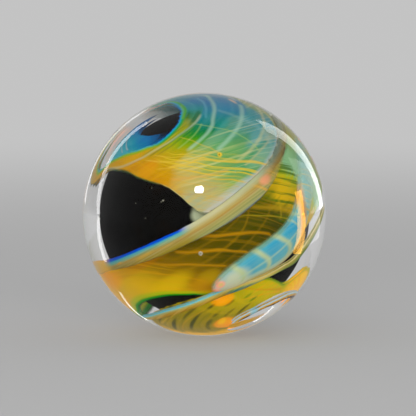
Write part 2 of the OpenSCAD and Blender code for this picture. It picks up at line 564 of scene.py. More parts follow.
# %% The core's material
stain_turn, stain_height, stain_r, stain_full_r = 2.5, 5.0, 2.7 * mm, 2.0 * mm
dark_core, tree, shader = new_material("dark core", matt)
place = add_node(tree, "TexCoord").outputs["Object"]
clouds = add_node(tree, "TexNoise", {
    "Vector": place, "Scale": 140.0, "Detail": 3.0, "Roughness": 0.55}).outputs["Fac"]
colour = ramp(clouds, [(0.3, 3, 3, 2), (0.5, 7, 6, 2), (0.62, 20, 12, 3), (0.75, 14, 20, 4)])
tear_tip = Vector(swirl_point(core_r, stain_turn, stain_height).tolist())
from_tip = add_node(tree, "VectorMath", {0: place, 1: tear_tip}, operation="DISTANCE")
ripple = scaled(clouds, 2 * mm, from_tip.outputs["Value"])
colour = blend(smooth(ripple, stain_r, stain_full_r), colour, screen(186, 196, 158))
tree.links.new(colour, shader.inputs["Base Color"])


# %% The core as a smooth ball
def ball_surface(r, nu, nv):
    """Points and faces of a sphere: a grid of longitudes and latitudes, closed at its poles.

    The point at longitude a and colatitude b is r (sin b cos a, sin b sin a, cos b).
    """
    a = np.linspace(0, 2 * np.pi, nu, endpoint=False)
    b = np.linspace(0, np.pi, nv + 1)[1:-1]
    turn, tilt = np.meshgrid(a, b, indexing="ij")
    rows = np.stack([np.sin(tilt) * np.cos(turn), np.sin(tilt) * np.sin(turn), np.cos(tilt)], -1)
    points = np.concatenate([rows.reshape(-1, 3), [[0, 0, 1], [0, 0, -1]]]) * r
    index = np.arange(nu * (nv - 1)).reshape(nu, nv - 1)
    after = np.roll(index, -1, 0)
    quads = np.stack([index[:, :-1], index[:, 1:], after[:, 1:], after[:, :-1]], -1).reshape(-1, 4)
    top = np.stack([np.full(nu, nu * (nv - 1)), index[:, 0], after[:, 0]], -1)
    bottom = np.stack([np.full(nu, nu * (nv - 1) + 1), after[:, -1], index[:, -1]], -1)
    return points, quads.tolist() + top.tolist() + bottom.tolist()


def add_ball(name, node, r, nu, nv, material):
    """A smooth ball at the origin that stands for the solid of the same size."""
    points, faces = ball_surface(r, nu, nv)
    made = mesh_object(name, points, faces)
    made.data.materials.append(material)
    stand_for(made, node)


add_ball("core", "dark_core", core_r, 160, 100, dark_core)

# %% [markdown]
# ## The upper veil
#
# The largest sheet covers the upper half of the ball, from the tear on the left right round to
# the back. Its skin is thickest at the left, where it is gold and orange, and thins to green,
# teal and blue at the right. Below it turns milky: cream beside the tear, then pale green and
# teal. Along the round opening at the top its rim is drawn out thin, and so it is blue.

# %% The upper veil
upper_stations = [
    (-172, 48, 56), (-155, 45, 58), (-138, 42, 57), (-122, 41, 55), (-108, 45, 56), (-98, 50, 61),
    (-88, 56, 66), (-75, 58, 69), (-58, 57, 71), (-43, 54, 71), (-30, 47, 70), (-17, 38, 69),
    (-9, 31, 68), (-4, 22, 67), (-1, 11, 67), (3, 4, 66), (15, 1, 66), (35, 2, 67), (50, 3, 68),
    (60, 5, 69), (70, 7, 70), (85, 10, 70), (110, 16, 70), (130, 18, 68), (150, 22, 64),
    (168, 30, 61), (184, 40, 56),
]
upper_veil = add_band("upper_veil", upper_stations, veil_r, sheet, 320, 64)

# %% Broad fields of the upper veil
glass = fused_glass("upper veil glass", seed=1, glow=0.1, sway=2.5)
turn, height = glass.turn, glass.height
fine = streak(glass, 1.2, 40, 0.1)
broad = streak(glass, 2.5, 8, 0.2)
uneven = scaled(broad, 10, -5)
leaning = scaled(calc("SUBTRACT", height, 55), 0.7, turn)
shelf = ramp(calc("ADD", leaning, uneven), [
    (-178, 110, 140, 10), (-150, 165, 150, 5), (-110, 190, 140, 0), (-60, 190, 140, 0),
    (-25, 184, 122, 0), (-6, 176, 132, 0), (8, 160, 146, 0), (20, 120, 150, 0), (32, 50, 135, 15),
    (44, 0, 116, 60), (54, 0, 116, 92), (68, 0, 118, 122), (82, 0, 114, 142), (105, 0, 106, 150),
    (125, 0, 108, 150), (142, 60, 124, 144), (160, 40, 130, 120), (184, 110, 145, 20)])
crest = ramp(calc("ADD", turn, uneven), [
    (-178, 120, 140, 10), (-110, 190, 140, 0), (-25, 194, 142, 0), (-5, 172, 152, 0),
    (28, 152, 150, 0), (50, 140, 142, 0), (62, 60, 112, 0), (76, 0, 110, 60), (90, 0, 124, 128),
    (120, 0, 116, 150), (150, 30, 120, 130), (184, 110, 145, 20)])
milk = ramp(calc("ADD", turn, uneven), [
    (-20, 182, 160, 70), (0, 170, 160, 96), (15, 164, 162, 92), (26, 126, 156, 78),
    (38, 82, 148, 86), (52, 60, 140, 96), (62, 54, 136, 112), (76, 56, 134, 130),
    (90, 40, 140, 150), (104, 0, 125, 140), (113, 112, 138, 60), (125, 140, 135, 30),
    (140, 110, 120, 20), (160, 60, 120, 80), (184, 110, 140, 20)])
over_crest = smooth(scaled(turn, 0.035, height), 58.8, 60.4)
glass.colour = blend(over_crest, shelf, crest)
milk_top = smooth(turn, 76, 96, 42.4, 33)
under = calc("SUBTRACT", scaled(fine, 1.2, height), milk_top)
from_gold = scaled(calc("SUBTRACT", height, 20), -0.45, turn)
from_gold = smooth(scaled(broad, 6, from_gold), -8, 10)
in_milk = product(smooth(under, 1.6, -0.8), from_gold)
glass.colour = blend(in_milk, glass.colour, milk)
paint_grain(glass, streak(glass, 1, 70, 0.6, 0.35), in_milk,
            (0.95, 0.4, (214, 196, 140)), (0.1, 0.3, (120, 132, 60)))

# %% Patches, streaks and rims of the upper veil
paint_patches(glass, [
    (-18, 50, 12, 5, 0.7, 208, 122, 0), (-40, 58, 16, 3, 0.4, 190, 118, 0),
    (-30, 64, 30, 3, 0.4, 204, 158, 0), (66, 59, 18, 1.7, 0.75, 0, 84, 24),
    (10, 15, 16, 9, 0.6, 166, 158, 108), (4, 8, 14, 3, 0.7, 150, 164, 140),
    (2, 15, 7, 8, 0.7, 146, 160, 128), (4, 30, 12, 6, 0.6, 176, 160, 92),
    (46, 26, 14, 6, 0.45, 108, 154, 70), (46, 39, 14, 4, 0.4, 112, 160, 130),
    (64, 42, 10, 3, 0.6, 0, 132, 122), (70, 22, 14, 4, 0.5, 96, 154, 160),
    (116, 55, 20, 6, 0.5, 0, 98, 154), (100, 45, 14, 6, 0.4, 0, 118, 164),
    (100, 30, 13, 3, 0.6, 0, 126, 132), (138, 42, 12, 9, 0.5, 118, 142, 158),
    (44, 54, 12, 4, 0.5, 0, 122, 40), (85, 17, 9, 4, 0.6, 160, 164, 132),
    (59, 27.5, 9, 5, 0.5, 76, 132, 76), (60, 12, 16, 4, 0.4, 150, 178, 150),
    (28, 6, 24, 3, 0.5, 178, 182, 178), (112, 10, 8, 3, 0.6, 20, 120, 120)])
paint(glass, product(fine, smooth(turn, 30, -10)), (206, 164, 16), 0.45)
paint(glass, product(fine, smooth(turn, 40, 70)), (80, 160, 160), 0.25)
sum_of_both = calc("ADD", turn, height)
thin = smooth(streak(glass, 1.5, 60, 0.3, 0.95), 0.45, 0.95)
in_slant = product(between(sum_of_both, 34, 46, 60, 72), smooth(height, 58, 44))
paint(glass, product(thin, in_slant), (206, 178, 44), 0.8)
in_gold = product(smooth(sum_of_both, 50, 36), smooth(height, 61, 57))
paint(glass, product(thin, in_gold), (204, 150, 6), 0.45)
by_hole = product(between(glass.high, 3, 5, 9, 15),
                  between(turn, -30, -10, 40, 60))
paint_grain(glass, streak(glass, 1, 90, 0.4), by_hole,
            (0.85, 0.7, (176, 176, 20)), (0.15, 0.5, (0, 96, 40)))
left_rim = ramp(glass.high, [
    (0, 92, 172, 190), (1.6, 52, 160, 160), (3, 128, 168, 20), (5.5, 186, 150, 0)])
right_rim = ramp(glass.high, [
    (0, 0, 66, 170), (1.2, 0, 104, 190), (2.1, 0, 150, 160), (3.4, 40, 146, 60),
    (4.2, 70, 150, 40), (5.5, 0, 132, 84)])
rim = blend(smooth(turn, -14, 14), left_rim, right_rim)
paint(glass, smooth(glass.high, 5.4, 3.6), rim)
lip = product(smooth(glass.low, 3.2, 1.4), smooth(turn, -8, -16))
paint(glass, lip, (38, 74, 44), 0.95)
right_lip = product(smooth(glass.low, 3, 1), between(turn, -16, -8, -2, 6))
paint(glass, right_lip, (166, 170, 116), 0.8)

# %% Lines of the upper veil, and its cover
pale_line = (178, 180, 140)
gold_line = (212, 176, 60)
green_line = (150, 184, 100)
milk_line = (160, 196, 170)
paint_lines(glass, [
    (1.1, 0.5, pale_line, [(-96, 57.5), (-80, 60), (-60, 60.8), (-40, 60.8), (-20, 60.2),
                            (0, 59.6), (20, 58.5), (40, 57.6), (60, 57), (78, 57.4)]),
    (1.5, 0.55, milk_line, [(18, 44.3), (40, 44.7), (55, 46), (70, 49), (85, 50.3), (100, 50.6),
                           (115, 49.6), (125, 48), (142, 44.5)]),
    (0.8, 0.36, green_line, [(16, 50), (30, 50), (45, 51), (58, 53)]),
    (1, 0.29, (110, 180, 190), [(66, 52.5), (88, 55), (110, 55), (132, 53)]),
    (1.7, 0.52, milk_line, [(36, 32), (50, 32.5), (60, 33), (80, 34.8), (95, 35.5), (114, 35.4)]),
    (1.4, 0.45, (196, 190, 130), [(40, 19), (60, 19.3), (80, 21), (95, 23), (110, 24.8),
                                  (126, 24.5)]),
    (0.8, 0.32, (196, 176, 120), [(42, 14), (60, 15), (78, 15.5)]),
    (1, 0.61, (216, 170, 90), [(38, 5), (50, 6), (60, 7), (75, 9), (85, 11.5), (98, 15.3)]),
    (1.4, 0.58, (188, 168, 30), [(97, 15), (110, 19), (122, 22.5)]),
    (1.6, 0.43, (182, 188, 196), [(-7, 4), (5, 5), (20, 4.6), (40, 5.6), (60, 8), (76, 10.4),
                                 (92, 14.5)]),
    (0.8, 0.36, gold_line, [(28, 57), (31, 48), (33, 43), (36, 35), (37, 31), (39, 27)]),
    (1, 0.4, green_line, [(54, 60), (55, 52), (57, 44), (60, 35), (61.5, 26), (60, 14)]),
    (3.5, 0.25, (140, 176, 170), [(88, 50), (83, 35), (83, 25), (77, 15), (71, 10)]),
    (0.8, 0.5, gold_line, [(-20, 58), (-5, 50), (10, 42), (25, 33), (40, 20), (52, 10), (63, 1)]),
    (0.6, 0.43, gold_line, [(-8, 57), (5, 49), (18, 40), (30, 30), (42, 20), (56, 8)]),
    (0.8, 0.5, gold_line, [(-2, 43), (12, 38), (24, 33), (36, 24), (50, 12), (60, 4)]),
    (0.8, 0.43, gold_line, [(-10, 46), (2, 41), (14, 36.5), (28, 34), (36, 33)]),
    (1.3, 0.43, (206, 150, 72), [(-4, 35), (4, 31), (14, 26), (24, 21.5), (34, 18)]),
    (0.6, 0.43, gold_line, [(12, 47), (24, 38), (35, 28), (46, 16), (57, 7)]),
    (0.8, 0.29, (150, 120, 90), [(-5, 26), (2, 20), (10, 16), (20, 14)]),
    (1, 0.43, (120, 170, 30), [(60, 66.4), (78, 67.2), (100, 67.2), (118, 66)])])
paint_patches(glass, [
    (37, 29, 1.8, 1.6, 0.9, 214, 176, 40), (36.8, 29.2, 0.7, 0.6, 0.8, 120, 84, 20),
    (48, 1.5, 5, 3, 0.7, 226, 150, 112), (118, 38, 7, 1.6, 0.6, 222, 178, 130),
    (130, 35, 9, 1.2, 0.5, 214, 190, 150)])
finish(glass, upper_veil, 1.3, 0.8, 1.7)

# %% [markdown]
# ## The olive veil
#
# Under the main fold lies a thinner sheet. Its middle is dark olive, because the core shows
# through it, and its left end is bright yellow with a green rim. Amber stretch lines cross it
# slantwise, and a few more curve across those.

# %% The olive veil
olive_stations = [
    (-178, -8, -2, 1), (-150, -18, 2, 1), (-125, -24, 3, 1), (-106, -24, 4, 1), (-92, -22, 5, 1),
    (-78, -23, 5, 0.6), (-60, -29, 4, 0.2), (-45, -39, 3, 0), (-35, -46, 2, 0), (-15, -50, 0, 0),
    (5, -51, -1, 0), (25, -51, -1, 0), (45, -50, -1, 0), (60, -47, 1, 0.25), (74, -42, 3, 0.7),
    (88, -36, 6, 1), (105, -30, 10, 1), (130, -20, 13, 1), (155, -8, 12, 1), (178, 0, 6, 1),
]
olive_veil = add_band("olive_veil", olive_stations, inner_r, sheet, 300, 60)

# %% Fields and patches of the olive veil
glass = fused_glass("olive veil glass", seed=11, glow=0.3)
turn, height = glass.turn, glass.height
edgewise = streak(glass, 2, 40, 0.1, height=glass.low)
broad = streak(glass, 3, 9, 0.2)
leaning = scaled(calc("ADD", height, 12), 0.8, turn)
glass.colour = ramp(scaled(edgewise, 8, leaning), [
    (-178, 180, 130, 0), (-150, 226, 160, 0), (-112, 240, 172, 0), (-88, 216, 172, 0),
    (-66, 212, 170, 0), (-54, 184, 146, 0), (-44, 146, 112, 0), (-34, 120, 92, 0),
    (-22, 104, 84, 0), (-6, 90, 76, 0), (24, 78, 72, 0), (44, 86, 82, 0), (52, 134, 122, 0),
    (60, 190, 154, 0), (72, 184, 154, 0), (80, 150, 164, 20), (86, 122, 168, 120),
    (104, 120, 164, 110), (128, 136, 134, 20), (178, 110, 112, 0)])
middle = between(leaning, -34, -14, 42, 54)
paint(glass, product(broad, middle), (52, 54, 0), 0.6)
paint_patches(glass, [
    (-24, -34, 12, 6, 0.5, 190, 156, 0), (-60, -1, 44, 4, 0.6, 180, 112, 0),
    (-98, -2, 18, 6, 0.8, 240, 156, 0), (-56, -23, 26, 7, 0.7, 214, 176, 0),
    (8, -27, 20, 5, 0.5, 60, 60, 0), (38, -17, 13, 7, 0.5, 58, 62, 0),
    (45, -9, 12, 4, 0.4, 70, 96, 0), (-34, -36, 10, 8, 0.5, 176, 112, 0),
    (128, 1, 5, 1, 0.9, 255, 140, 0)])
paint_grain(glass, streak(glass, 1.5, 34, 0.3, 0.6), between(turn, 44, 54, 76, 82),
            (0.85, 0.85, (62, 96, 0)))
gold = smooth(streak(glass, 1.5, 60, 0.4, 0.8), 0.6, 0.95)
paint(glass, product(gold, middle), (160, 116, 8), 0.35)
left = smooth(turn, -28, -44)
paint(glass, product(smooth(edgewise, 0.4, 0.9), left), (224, 170, 0), 0.4)
for far_in, full, share, tone in ((8, 4.6, 0.9, (168, 180, 0)), (4.2, 2.4, 1, (10, 134, 0)),
                                  (2.2, 0.6, 1, (0, 40, 14))):
    paint(glass, product(smooth(glass.low, far_in, full), left), tone, share)

# %% Lines of the olive veil, and its cover
amber_line = (186, 130, 12)
dull_line = (150, 112, 10)
paint_lines(glass, [
    (1.1, 0.61, amber_line, [(-54, -1), (-40, -10), (-25, -19), (-12, -29), (-4, -35)]),
    (1.3, 0.65, amber_line, [(-30, -5), (-27, -7), (-12, -16), (0, -23), (10, -31), (16, -35)]),
    (1.3, 0.65, amber_line, [(-10, -5), (-5, -8), (8, -16), (20, -22), (33, -30), (39, -34)]),
    (0.6, 0.5, (170, 150, 20), [(14, -6), (20, -9), (35, -18), (50, -26), (66, -35)]),
    (2.1, 0.43, (190, 148, 16), [(28, -6), (32, -9), (45, -17), (60, -25), (71, -30)]),
    (1.1, 0.43, dull_line, [(-34, -19.5), (-15, -22.8), (0, -22.5), (15, -20), (25, -14),
                           (32, -5)]),
    (1, 0.29, dull_line, [(-36, -9), (-18, -12), (0, -13), (16, -11), (28, -5)]),
    (1.3, 0.36, (176, 146, 20), [(56, -5), (55.5, -12), (54, -20), (50, -28)]),
    (1, 0.29, dull_line, [(-24, -30), (-8, -31), (10, -29.5), (30, -25), (44, -18), (48, -8)]),
    (0.8, 0.43, (206, 150, 0), [(-80, -6), (-60, -12), (-45, -22), (-36, -34)]),
    (0.8, 0.36, (206, 150, 0), [(-62, -4), (-46, -14), (-34, -26), (-26, -36)])])
finish(glass, olive_veil, 1.6, 0.8, 0.6)

# %% [markdown]
# ## The foot veil
#
# The foot of the ball has an olive sheet that was combed while hot, so short dark green marks
# stand across it in rows. Two bright orange spots on it are painted glows of light shining
# through the sheet, one with a painted yellow highlight, and its right half is clear yellow.

# %% The foot veil
foot_stations = [
    (-178, -62, -54), (-155, -60, -46), (-130, -63, -34), (-106, -68, -28), (-90, -71, -28),
    (-60, -74, -33), (-30, -78, -42), (0, -80, -49), (20, -81, -57), (38, -81, -66),
    (58, -81, -71), (80, -80, -69), (110, -77, -60), (140, -72, -54), (160, -70, -54),
    (174, -67, -58),
]
foot_veil = add_band("foot_veil", foot_stations, veil_r, sheet, 280, 48)

# %% The foot veil's material
glass = fused_glass("foot veil glass", seed=21, glow=0.5)
turn = glass.turn
fine = streak(glass, 2, 44, 0.1)
broad = streak(glass, 3, 10, 0.2)
glass.colour = ramp(scaled(broad, 14, turn), [
    (-178, 250, 180, 0), (-120, 250, 184, 0), (-106, 136, 118, 0), (-60, 130, 120, 0),
    (-28, 160, 146, 0), (-8, 170, 158, 0), (20, 186, 166, 0), (70, 180, 162, 0),
    (100, 230, 180, 0), (120, 255, 190, 0), (178, 250, 180, 0)])
paint(glass, product(fine, smooth(turn, 0, -20)), (176, 142, 6), 0.45)
paint_grain(glass, fine, smooth(turn, -20, 0), (0.9, 0.35, (222, 150, 0)))
mark = (44, 54, 0)
paint_patches(glass, [
    (-80, -33, 26, 1, 0.7, *mark), (-66, -36.5, 26, 0.9, 0.7, *mark),
    (-96, -40, 16, 1.2, 0.8, *mark), (-62, -43.5, 16, 1.1, 0.6, *mark),
    (-80, -49, 24, 1.2, 0.85, *mark), (-44, -50, 10, 1.1, 0.7, *mark),
    (-92, -57.5, 12, 1.2, 0.5, *mark), (-76, -57.6, 10, 1.6, 0.6, *mark),
    (-54, -57.5, 8, 1.4, 0.55, *mark), (-29, -57, 8, 1.5, 0.6, *mark),
    (-36, -70.5, 20, 1.4, 0.7, *mark), (-48, -64, 14, 1.2, 0.5, *mark),
    (-9, -62, 6, 1.2, 0.6, 90, 120, 0), (-7, -68, 8, 1.2, 0.7, 70, 110, 0),
    (-50, -54, 3.5, 12, 0.5, 176, 150, 10), (-20, -60, 3.5, 9, 0.5, 190, 166, 10),
    (-118, -78, 18, 8, 0.9, 10, 14, 4)])
paint_lines(glass, [
    (1.4, 0.5, (196, 122, 10), [(-12, -50), (-5, -55), (10, -65), (30, -72), (60, -76)]),
    (1, 0.36, (224, 150, 0), [(-20, -60), (0, -68), (25, -74), (60, -78)]),
    (0.8, 0.5, (190, 150, 30), [(-106, -34), (-80, -37), (-50, -43), (-26, -49)]),
    (0.8, 0.43, (186, 140, 20), [(-110, -44), (-80, -45.5), (-50, -49)])])
paint(glass, product(smooth(glass.high, 4.5, 2), smooth(turn, -6, 20)), (170, 164, 0), 0.9)
# Painted light: the two full orange spots are painted glows of light through the sheet, and the
# bright yellow patch beside the first is a painted highlight
paint_patches(glass, [
    (-83, -67, 22, 6.5, 1, 255, 160, 0), (-96, -69, 10, 3, 0.4, 255, 130, 0),
    (-74, -64.5, 12, 2.4, 0.7, 255, 190, 10), (-99, -72.6, 11, 1.3, 1, 110, 8, 0),
    (-29, -51, 11, 6, 1, 255, 160, 0), (-27, -47, 7, 2, 0.6, 250, 160, 110)])
green_rim = product(smooth(glass.high, 3.4, 0.8), between(turn, 4, 14, 56, 72))
paint(glass, green_rim, (70, 124, 24), 0.8)
finish(glass, foot_veil, 1.2, 1, 0.8)

# %% [markdown]
# ## The folds
#
# Where a sheet's edge rolled over, it made a rope of many thin layers. Seen from the side the
# layers show as fine streaks along it. The left half of the main fold has a line of pure blue on
# top, where its edge lies over the dark core, and teal below that. Its right half is cream.

# %% The main fold
main_stations = [
    (-130, 1, 8), (-105, 2, 10), (-82, 3, 10), (-55, 0, 9), (-30, -4, 7), (-13, -6, 5), (3, -8, 4),
    (20, -9, 4), (36, -8, 5), (50, -5, 6), (63, -1, 8), (80, 5, 12), (110, 12, 18), (140, 15, 20),
    (170, 14, 18),
]
main_fold = add_band("main_fold", main_stations, fold_r, roll, 300, 28)


# %% A rope of thin layers
def rope(glass, stops):
    """Colours by the distance from the top edge, which fine streaks shift a little."""
    shift = scaled(streak(glass, 1.2, 90, 0.1), 1.4, -0.7)
    inside = smooth(glass.high, 1.2, 3)
    return ramp(scaled(shift, inside, glass.high), stops)


# %% The main fold's material
glass = fused_glass("main fold glass", seed=31, glow=0.1, sway=1.2)
turn = glass.turn
left_rope = rope(glass, [
    (0, 0, 60, 190), (1.5, 0, 84, 186), (2.1, 70, 156, 170), (3.6, 112, 166, 136),
    (4.8, 152, 140, 76), (6.8, 152, 132, 56), (8.6, 152, 134, 40), (10.5, 120, 108, 30),
])
right_rope = rope(glass, [
    (0, 182, 188, 186), (1.2, 186, 188, 168), (3.2, 170, 160, 104), (5.2, 170, 140, 64),
    (6.6, 164, 152, 88), (8.8, 146, 146, 80), (11, 132, 144, 92), (12.4, 96, 118, 118),
    (13.4, 84, 104, 110),
])
glass.colour = blend(smooth(turn, -17, -5), left_rope, right_rope)
paint_grain(glass, streak(glass, 1, 110, 0.2), smooth(glass.high, 2.4, 3.6),
            (0.95, 0.45, (184, 168, 112)), (0.1, 0.3, (146, 120, 60)))
paint_lines(glass, [
    (0.6, 0.5, (160, 116, 60), [(-24, 0.5), (-10, -1), (10, -2), (36, -1.6), (50, 0)]),
    (0.8, 0.43, (196, 150, 70), [(-96, 6.5), (-60, 4.6), (-36, 2), (-20, 0.4)]),
    (0.6, 0.36, (120, 160, 140), [(-8, 3.4), (15, 3), (40, 4.2)])])
paint_grain(glass, streak(glass, 1.5, 60, 0.3, 1), between(turn, 34, 44, 64, 74),
            (0.9, 0.7, (216, 164, 66)))
paint_patches(glass, [
    (47, 0, 5, 3, 0.85, 228, 152, 112), (54, 4, 4, 2, 0.5, 226, 170, 90),
    (-44, 2.5, 8, 1.2, 0.5, 200, 160, 60), (-66, 5.5, 3, 0.6, 0.6, 220, 160, 40)])
paint(glass, smooth(turn, -74, -86), (240, 186, 60), 0.92)
thinned = smooth(turn, 40, 66, 0.97, 0.3)
merged = ramp(turn, [
    (-10, 184, 180, 130), (10, 182, 174, 120), (30, 166, 166, 116), (50, 142, 156, 118),
    (66, 118, 150, 128)])
at_top = product(smooth(glass.high, 5, 0.6), smooth(turn, -16, -2))
paint(glass, at_top, merged, 0.85)
finish(glass, main_fold, 1.3, 0.5, 0.3, thinned)

# %% The lower fold
lower_stations = [
    (-110, -26, -22), (-90, -32, -27), (-70, -37, -31), (-45, -43, -37), (-25, -47, -41),
    (-5, -52, -46), (15, -55, -51), (38, -57, -53), (57, -57, -52), (75, -51, -45), (95, -41, -36),
    (115, -30, -26),
]
lower_fold = add_band("lower_fold", lower_stations, fold_r, roll, 260, 24)
glass = fused_glass("lower fold glass", seed=41, glow=0.35, sway=1)
left_rope = rope(glass, [
    (0, 40, 150, 196), (0.5, 70, 172, 196), (1.1, 150, 170, 120), (2.2, 176, 142, 50),
    (4.2, 164, 126, 16), (6, 128, 112, 0),
])
right_rope = rope(glass, [
    (0, 196, 190, 142), (1.2, 204, 172, 84), (2, 180, 170, 90), (2.9, 90, 124, 80),
    (3.8, 0, 112, 112), (5, 0, 84, 92),
])
glass.colour = blend(smooth(glass.turn, -24, -12), left_rope, right_rope)
paint_grain(glass, streak(glass, 1, 110, 0.2), smooth(glass.high, 1.6, 2.4),
            (0.95, 0.5, (206, 176, 90)))
dim = product(smooth(glass.turn, 16, 44), smooth(glass.high, 0.4, 1.2))
paint(glass, dim, (104, 116, 44), 0.7)
finish(glass, lower_fold, 1, 0.3, 0.2)

# %% The foot fold
foot_roll_stations = [
    (-75, -73, -67), (-50, -78, -70), (-15, -83, -76), (25, -86, -79), (63, -86, -79),
    (105, -82, -75), (130, -77, -70), (150, -70, -63), (175, -62, -57),
]
foot_fold = add_band("foot_fold", foot_roll_stations, fold_r, roll, 200, 24)
glass = fused_glass("foot fold glass", seed=51, glow=0.4, sway=1)
# The rope's lower part is painted near black: painted shade that stands for the darkness seen
# through the clear glass below the fold
glass.colour = rope(glass, [
    (0, 150, 150, 60), (0.6, 176, 180, 160), (1.1, 176, 196, 204), (1.7, 168, 188, 190),
    (2.2, 196, 164, 40), (3.5, 206, 140, 0), (4.4, 24, 18, 4), (7, 6, 6, 2)])
paint_patches(glass, [(-30, -77, 14, 2, 0.8, 124, 188, 206)])
finish(glass, foot_fold, 1.4, 0.8, 0.3)

# %% [markdown]
# ## The blue finger
#
# The fattest roll lies outermost, at the lower right. It is pale blue, with cream rings where its
# skin cracked as it bent, a line along it, a cream lower side, and a cream and salmon tip. A
# painted amber reflection lies on it where the amber lamps' mirror image passes over it.

# %% The blue finger
finger_stations = [
    (-24, -40, -32), (-8, -44, -29), (12, -47, -28), (26, -49, -28), (40, -48, -27),
    (52, -44, -23), (62, -37, -16), (74, -27, -6), (88, -16, 4), (104, -4, 12),
]
finger = add_band("blue_finger", finger_stations, finger_r, fat_roll, 260, 48)

# %% The finger's material
glass = fused_glass("blue finger glass", seed=61, glow=0.17, sway=1.2)
turn = glass.turn
glass.colour = ramp(glass.low, [
    (0, 120, 130, 60), (0.8, 206, 190, 120), (1.7, 200, 182, 108), (2.8, 192, 196, 150),
    (4.2, 166, 194, 168), (5.8, 88, 166, 176), (11, 70, 158, 176), (17, 74, 162, 176),
    (19, 124, 176, 156)])
cells = streak(glass, 14, 10, 0.1)
inside = product(smooth(glass.low, 4, 6), smooth(glass.high, 1.5, 3.5))
paint(glass, product(cells, inside), (66, 156, 180), 0.45)
paint_patches(glass, [
    (10, -35, 5, 4, 0.6, 52, 148, 180), (29, -35, 6, 5, 0.7, 44, 146, 182),
    (48, -31, 8, 5, 0.7, 38, 148, 186), (-6, -38, 13, 7, 0.85, 210, 204, 160),
    (-16, -33, 8, 2.5, 0.7, 150, 182, 176), (-14, -39, 7, 3, 0.5, 206, 196, 168)])
paint(glass, streak(glass, 1.4, 60, 0.2), (150, 190, 176), 0.25)
paint(glass, smooth(glass.high, 3.4, 0.8), (132, 168, 100), 0.8)
far_part = smooth(turn, 56, 68)
paint(glass, far_part, (118, 172, 164), 0.7)
paint_grain(glass, streak(glass, 1.5, 60, 0.3, 0.5), far_part, (0.9, 0.7, (204, 176, 86)))
ring_tone = (178, 192, 142)
paint_lines(glass, [
    (2.7, 0.95, ring_tone, [(-3, -28), (0, -32), (2, -36), (1.5, -39), (-1, -41), (-5, -42)]),
    (2.7, 0.95, ring_tone, [(12, -27), (16, -30), (19.5, -35), (22, -39), (21.5, -42),
                            (18, -44.5), (12, -46.5)]),
    (2.7, 0.9, ring_tone, [(30, -26.5), (34, -30), (38, -34), (41.5, -37.5), (42.5, -40),
                            (41, -42.5), (35, -45)]),
    (1.6, 0.6, ring_tone, [(42, -18), (48, -21.5), (56, -27.5)]),
    (0.8, 0.6, ring_tone, [(43, -23), (48, -27), (54, -32)]),
    (0.8, 0.6, (170, 196, 160), [(-4, -38), (10, -38.5), (25, -38.6), (42, -36.5), (54, -33.5)]),
    # Painted reflection: the broad amber line is the amber lamps' mirror image, painted onto the
    # finger
    (4, 0.85, (220, 142, 30), [(66, -8), (64.5, -14), (62, -21), (60, -30), (58, -37),
                                 (55, -44)]),
    (0.8, 0.43, (176, 128, 66), [(-20, -41.5), (0, -45.4), (20, -47.6), (40, -47.4), (54, -43)])])
paint_patches(glass, [
    (-20.5, -37.5, 3.6, 2.6, 1, 252, 164, 140), (-14.5, -34.8, 3.8, 2.4, 1, 248, 160, 128),
    (-14.2, -34.9, 2, 1.2, 0.8, 206, 190, 110)])
finish(glass, finger, 1.2, 3.8, 0.3, smooth(turn, 62, 78, 0.92, 0.45))

# %% [markdown]
# ## The blue pool
#
# In the round opening at the upper left the core carries a pool of blue. It is light at the lower
# left and fades to the core's black at the upper right, so its colour follows a straight line
# through the piece and not the winding.

# %% The blue pool
pool_stations = [
    (-200, 64, 70), (-170, 59, 78), (-130, 57, 84), (-80, 60, 87), (-30, 62, 86), (15, 62, 80),
    (50, 62, 68),
]
pool = add_band("blue_pool", pool_stations, inner_r, sheet, 180, 36)
glass = fused_glass("blue pool glass", seed=71, glow=0.1)
tree = glass.material.node_tree
place = add_node(tree, "TexCoord").outputs["Object"]
fade_way = (0.93 / ball_r, 0, 0.37 / ball_r)
way = add_node(tree, "VectorMath", {0: place, 1: fade_way}, operation="DOT_PRODUCT")
fade = scaled(streak(glass, 1.5, 24, 0.1), 0.05, way.outputs["Value"])
glass.colour = ramp(fade, [
    (-0.3, 70, 166, 178), (-0.22, 14, 142, 166), (-0.14, 0, 110, 168), (-0.08, 0, 84, 136),
    (0, 0, 40, 66)])
paint_lines(glass, [
    (0.6, 0.43, (206, 190, 186), [(-150, 70), (-130, 73), (-105, 74.5), (-80, 74)]),
    (0.5, 0.36, (206, 190, 186), [(-140, 67), (-120, 70), (-95, 71)])])
finish(glass, pool, 1, 1, 1, smooth(fade, 0.06, -0.08))

# %% [markdown]
# ## The clear casing
#
# The casing is clear glass with a refractive index of 1.5. It is one smooth sphere here, because
# the colours are fused into it and the real ball has no surface between them. A renderer that
# follows light through a lens to a lamp needs a great many rays, so for shadow rays and for the
# light that the colours scatter the casing lets light straight through.

# %% The casing
glass_index = 1.5
clear, tree, shader = new_material("clear casing", {
    "Base Color": (1.0, 1.0, 1.0, 1.0), "Roughness": 0.0, "IOR": glass_index,
    "Specular Tint": (0.3, 0.3, 0.3, 1.0), "Transmission Weight": 1.0})
path = add_node(tree, "LightPath").outputs
through_light = calc("MAXIMUM", path["Is Shadow Ray"], path["Is Diffuse Ray"])
mix_surface(through_light, shader, add_node(tree, "BsdfTransparent"))
add_ball("clear_ball", "casing", ball_r, 256, 160, clear)

# %% [markdown]
# ## Bubbles
#
# A few tiny bubbles and specks hang in the casing in front of the colours. Their places are read
# off the photograph, so the lens has to be undone to find where they really are.

# %% The bubbles
def seen_at(right, up, layer):
    """The point of a layer that the camera sees at a place of the ball's picture.

    The place and the layer's radius are shares of the ball's radius. A ray that meets the ball
    at a share p turns from asin(p) to asin(p / n) there, and meets the layer of share a at the
    angle asin(p) - asin(p / n) + asin(p / (n a)) from the line of sight.
    """
    p = math.hypot(right, up)
    angle = math.asin(p) - math.asin(p / glass_index) + math.asin(p / (glass_index * layer))
    outwards = (view_right * right + view_up * up) / p
    return (outwards * math.sin(angle) - view_in * math.cos(angle)) * layer * ball_r


